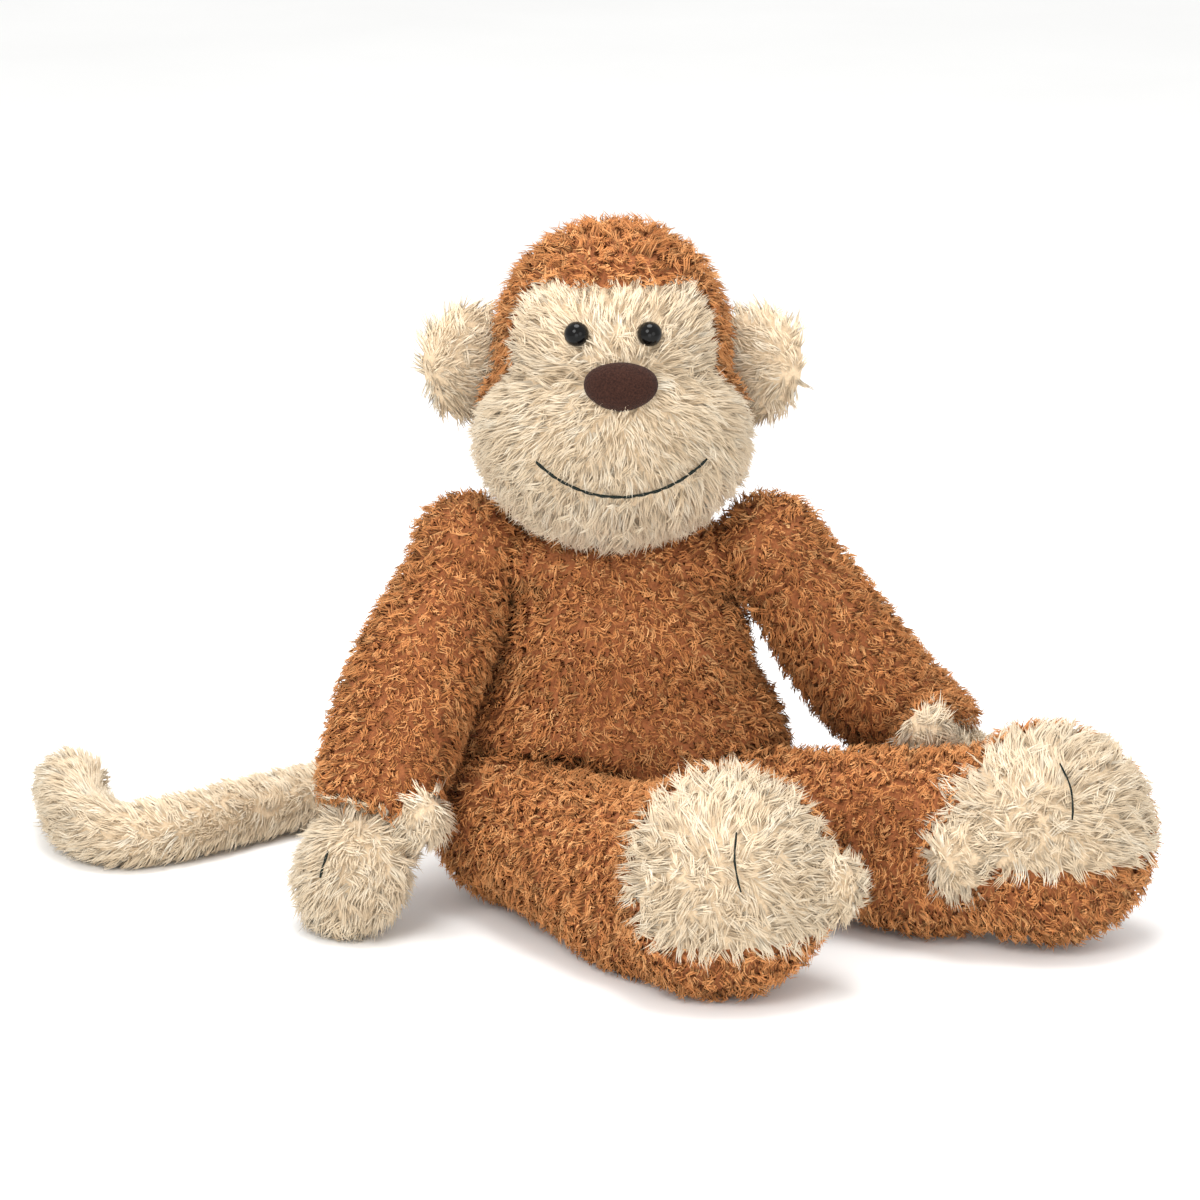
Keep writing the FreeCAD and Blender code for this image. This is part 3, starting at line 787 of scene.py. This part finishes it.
def area_light(name, place, target, size, power):
    light = bpy.data.lights.new(name, "AREA")
    light.shape = "DISK"
    light.size = size
    light.energy = power
    obj = bpy.data.objects.new(name, light)
    bpy.context.scene.collection.objects.link(obj)
    obj.location = place
    obj.rotation_mode = "QUATERNION"
    obj.rotation_quaternion = (Vector(target) - Vector(place)).to_track_quat("-Z", "Y")


def make_studio():
    floor_mesh = bpy.data.meshes.new("floor")
    reach = 4.0
    corners = [(-reach, -reach, 0), (reach, -reach, 0), (reach, reach, 0), (-reach, reach, 0)]
    floor_mesh.from_pydata(corners, [], [(0, 1, 2, 3)])
    floor = bpy.data.objects.new("floor", floor_mesh)
    bpy.context.scene.collection.objects.link(floor)
    floor.location.z = cad_bounds[0][2] - 0.5 * MM
    pale = noisy_material("pale_floor", (0.90, 0.90, 0.89), (0.93, 0.93, 0.92), 3, 0.8, 0.0)
    floor.data.materials.append(pale)
    world = bpy.data.worlds.new("studio")
    world.use_nodes = True
    world.node_tree.nodes["Background"].inputs["Color"].default_value = (1.0, 1.0, 1.0, 1)
    world.node_tree.nodes["Background"].inputs["Strength"].default_value = 1.0
    bpy.context.scene.world = world
    middle = (0, 0, 0.12)
    area_light("key", (-0.6, -1.2, 1.2), middle, 0.8, 13)
    area_light("fill", (0.9, -1.3, 0.5), middle, 0.9, 4)
    area_light("low", (0.0, -1.6, 0.16), (0, 0, 0.04), 0.9, 5)
    area_light("top", (0.0, 0.0, 1.5), middle, 0.8, 14)


def make_camera():
    """The camera stands in front, a little above, with a long lens."""
    distance, elevation = 1.8, math.radians(15)
    target = Vector((-8 * MM, 0, 118 * MM))
    camera = bpy.data.cameras.new("camera")
    camera.lens = 135
    camera.sensor_width = 36
    obj = bpy.data.objects.new("camera", camera)
    bpy.context.scene.collection.objects.link(obj)
    back = Vector((0, -math.cos(elevation), math.sin(elevation)))
    obj.location = target + back * distance
    obj.rotation_mode = "QUATERNION"
    obj.rotation_quaternion = (-back).to_track_quat("-Z", "Y")
    bpy.context.scene.camera = obj


make_camera()
make_studio()
dress_inner_parts()
skins = {
    "torso": make_skin(
        "torso_plush",
        ["torso_front_panel", "torso_back_panel", "torso_stuffing", "seat_bean_bag"],
        0.5 * MM,
        cushion=(Vector((0, 4 * MM, 134 * MM)), (56 * MM, 27 * MM, 16 * MM)),
    ),
    "neck": make_skin("neck_plush", ["neck_stuffing"], 0.0),
    "head": make_skin("head_plush", ["head_crown", "face_panel", "head_stuffing"], 1.5 * MM),
    "tail": make_skin("tail_plush", ["tail_sleeve", "tail_stuffing"], 1.0 * MM, 2.0 * MM, 6),
}
left_thumb = centre("left_thumb")
settled = {
    # The right leg lies flat on the floor, the left arm sags, and its thumb lies up on the leg.
    "right_leg": [
        ((-12 * MM, -68 * MM, 34 * MM), 70 * MM, (-3 * MM, -10 * MM, -5 * MM)),
        ((20 * MM, -100 * MM, 8 * MM), 55 * MM, (-7 * MM, -10 * MM, -9 * MM)),
    ],
    "left_leg": [((118 * MM, -66 * MM, 8 * MM), 50 * MM, (-2 * MM, -9 * MM, -9 * MM))],
    "left_arm": [
        (pivot_of("left_arm").lerp(centre("left_hand"), 0.5), 65 * MM, (-3 * MM, -3 * MM, -7 * MM)),
        (left_thumb, 30 * MM, (-17 * MM, -20 * MM, 20 * MM)),
    ],
    "right_arm": [(pivot_of("right_arm").lerp(centre("right_hand"), 0.5), 70 * MM, (-5 * MM, 0, 0))],
}
for side_name, _ in SIDES:
    for kind, ends in (("arm", ("hand", "thumb")), ("leg", ("foot_sole", "big_toe"))):
        limb = f"{side_name}_{kind}"
        cloth = [f"{limb}_sleeve", f"{limb}_stuffing"] + [f"{side_name}_{end}" for end in ends]
        skins[limb] = make_skin(f"{limb}_plush", cloth, 1.0 * MM, bends=settled.get(limb, ()))
skin_trees = {
    name: BVHTree.FromPolygons([v.co for v in skin.data.vertices], [p.vertices for p in skin.data.polygons])
    for name, skin in skins.items()
}
make_torso(skins["torso"])
make_neck(skins["neck"])
make_head(skins["head"])
for side_name, _ in SIDES:
    make_arm(skins[f"{side_name}_arm"], side_name)
    make_leg(skins[f"{side_name}_leg"], side_name)
make_tail(skins["tail"])
bpy.context.scene.view_settings.view_transform = "Standard"
